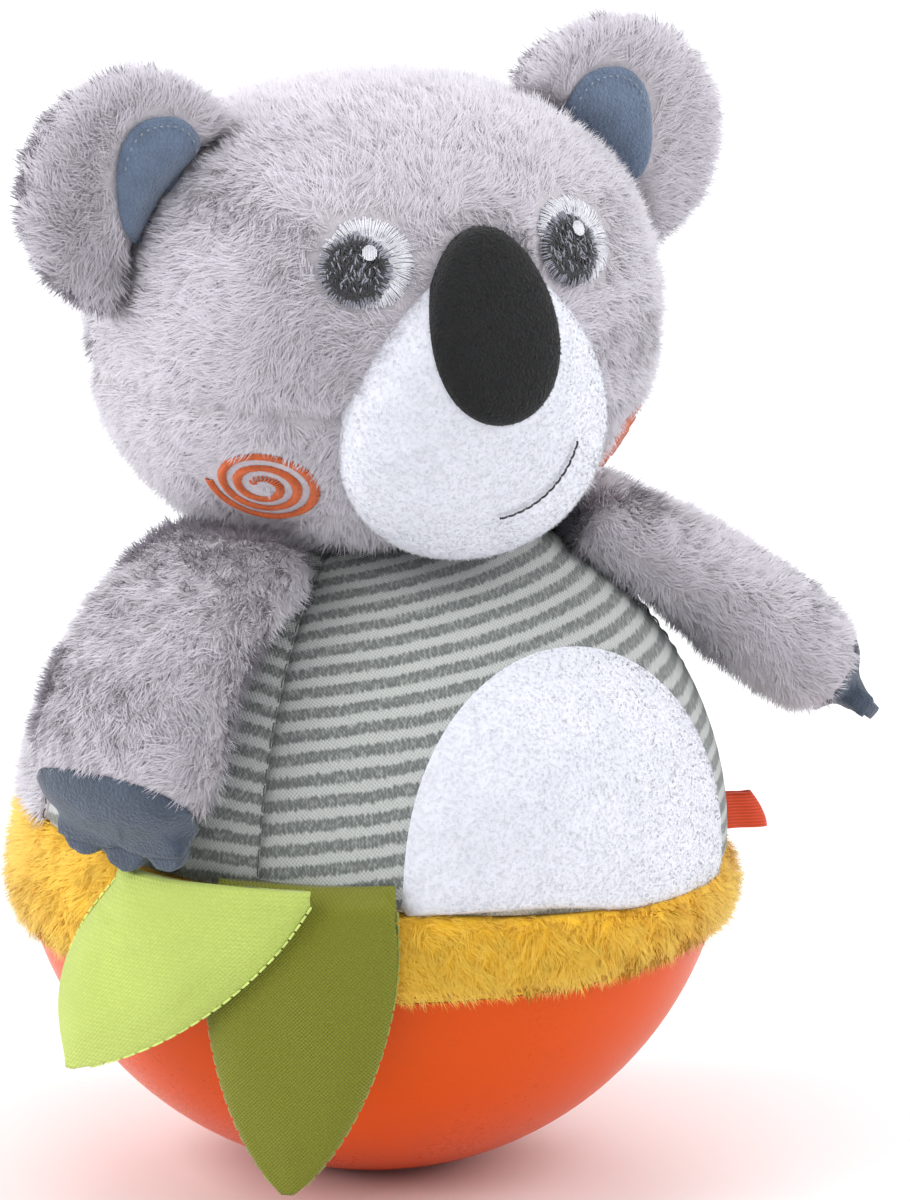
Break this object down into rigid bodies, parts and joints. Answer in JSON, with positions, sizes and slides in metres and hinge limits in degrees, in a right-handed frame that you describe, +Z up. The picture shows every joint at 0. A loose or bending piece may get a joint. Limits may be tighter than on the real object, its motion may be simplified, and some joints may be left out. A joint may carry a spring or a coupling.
{
  "type": "roly poly toy",
  "caption": "Plush koala on a round weighted bowl that rocks and rights itself, with a turning head, soft arms, ears and lift-up cloth leaves.",
  "frame": {"origin": "middle of the bowl's flat foot, on the surface that the toy stands on", "axes": "+Z up, -Y the way the belly faces, +X the toy's own left"},
  "size_m": [0.1402, 0.112, 0.1761],
  "materials": {
    "orange_plastic": "gloss",
    "iron": "matte",
    "steel": "satin",
    "ivory_plastic": "matte",
    "yellow_plush": "matte",
    "polyester_fill": "matte",
    "striped_jersey": "matte",
    "grey_plush": "matte",
    "white_velour": "matte",
    "red_ribbon": "satin",
    "olive_cotton": "matte",
    "lime_cotton": "matte",
    "black_felt": "matte",
    "dark_thread": "satin",
    "white_thread": "satin",
    "rust_thread": "satin",
    "slate_felt": "matte"
  },
  "bodies": {
    "base": {"bowl": "orange_plastic", "ballast": "iron", "ballast_washer": "steel", "ballast_screw": "steel", "chime_plate": "ivory_plastic", "chime_rod_1": "steel", "chime_rod_2": "steel", "chime_rod_3": "steel", "chime_rod_4": "steel", "bowl_lid": "ivory_plastic", "lid_screw_1": "steel", "lid_screw_2": "steel", "lid_screw_3": "steel", "clapper_pin": "steel", "plush_hem": "yellow_plush", "rim_band": "yellow_plush", "torso_stuffing": "polyester_fill", "belly_panel": "striped_jersey", "right_side_panel": "striped_jersey", "left_side_panel": "striped_jersey", "back_panel": "grey_plush", "belly_patch": "white_velour"},
    "head": {"head": "grey_plush", "muzzle": "white_velour", "nose": "black_felt", "mouth_stitch": "dark_thread", "right_eye_white": "white_thread", "left_eye_white": "white_thread", "right_iris": "dark_thread", "left_iris": "dark_thread", "right_cheek_spiral": "rust_thread", "left_cheek_spiral": "rust_thread"},
    "right_ear": {"right_ear": "grey_plush", "right_ear_lining": "slate_felt"},
    "left_ear": {"left_ear": "grey_plush", "left_ear_lining": "slate_felt"},
    "right_arm": {"right_arm": "grey_plush", "right_claws": "slate_felt"},
    "left_arm": {"left_arm": "grey_plush", "left_claws": "slate_felt"},
    "dark_leaf": {"dark_leaf": "olive_cotton"},
    "light_leaf": {"light_leaf": "lime_cotton"},
    "tag": {"tag": "red_ribbon"},
    "clapper": {"clapper": "steel"}
  },
  "joints": [
    {"name": "head_turn", "type": "hinge", "parent": "base", "child": "head", "pos_m": [0, 0, 0.10615], "axis": [0, 0, 1], "range_deg": [-9, 33], "stiffness_Nm_per_rad": 0.15},
    {"name": "right_ear_flop", "type": "hinge", "parent": "head", "child": "right_ear", "pos_m": [-0.03634, 0.00873, 0.15532], "axis": [0.4791, -0.115, 0.8702], "range_deg": [-12, 18], "stiffness_Nm_per_rad": 0.02},
    {"name": "left_ear_flop", "type": "hinge", "parent": "head", "child": "left_ear", "pos_m": [0.03634, -0.00873, 0.15532], "axis": [0.4791, -0.115, -0.8702], "range_deg": [-12, 18], "stiffness_Nm_per_rad": 0.02},
    {"name": "right_arm_raise", "type": "hinge", "parent": "base", "child": "right_arm", "pos_m": [-0.03053, -0.00538, 0.10154], "axis": [-0.1736, 0.9848, 0], "range_deg": [0, 30], "stiffness_Nm_per_rad": 0.12},
    {"name": "left_arm_raise", "type": "hinge", "parent": "base", "child": "left_arm", "pos_m": [0.02685, -0.0155, 0.10154], "axis": [-0.5, -0.866, 0], "range_deg": [-8, 30], "stiffness_Nm_per_rad": 0.12},
    {"name": "dark_leaf_lift", "type": "hinge", "parent": "base", "child": "dark_leaf", "pos_m": [-0.04563, -0.03565, 0.05443], "axis": [-0.6157, 0.788, 0], "range_deg": [0, 35], "stiffness_Nm_per_rad": 0.006},
    {"name": "light_leaf_lift", "type": "hinge", "parent": "dark_leaf", "child": "light_leaf", "pos_m": [-0.05574, -0.02366, 0.05577], "axis": [-0.3907, 0.9205, 0], "range_deg": [0, 35], "stiffness_Nm_per_rad": 0.006},
    {"name": "tag_flip", "type": "hinge", "parent": "base", "child": "tag", "pos_m": [0.04815, -0.0278, 0.0495], "axis": [0, 0, 1], "range_deg": [-35, 35], "stiffness_Nm_per_rad": 0.0006},
    {"name": "clapper_swing", "type": "hinge", "parent": "base", "child": "clapper", "pos_m": [0, 0, 0.03635], "axis": [1, 0, 0], "range_deg": [-36, 36]}
  ]
}
